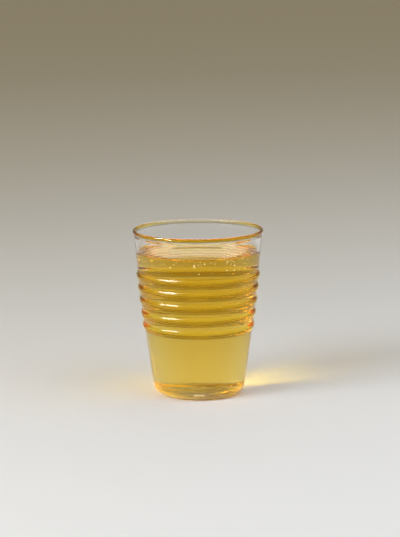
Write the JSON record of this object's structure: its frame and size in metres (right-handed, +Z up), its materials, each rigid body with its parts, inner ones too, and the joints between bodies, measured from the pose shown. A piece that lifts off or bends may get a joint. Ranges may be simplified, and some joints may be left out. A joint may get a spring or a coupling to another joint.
{
  "type": "glass cup of tea",
  "caption": "Clear blown glass tumbler, tapered, with amber ribs round its middle and an amber rim, filled with yellow tea to near the top.",
  "frame": {"origin": "centre of the flat underside that the glass stands on", "axes": "+Z up along the glass's axis, from its underside to its rim"},
  "size_m": [0.08, 0.08, 0.102],
  "materials": {
    "glass": "clear polished glass, its ribs and rim tinted amber",
    "tea": "clear yellow liquid"
  },
  "bodies": {
    "root": {"glass_cup": "glass", "tea": "tea"}
  },
  "joints": []
}
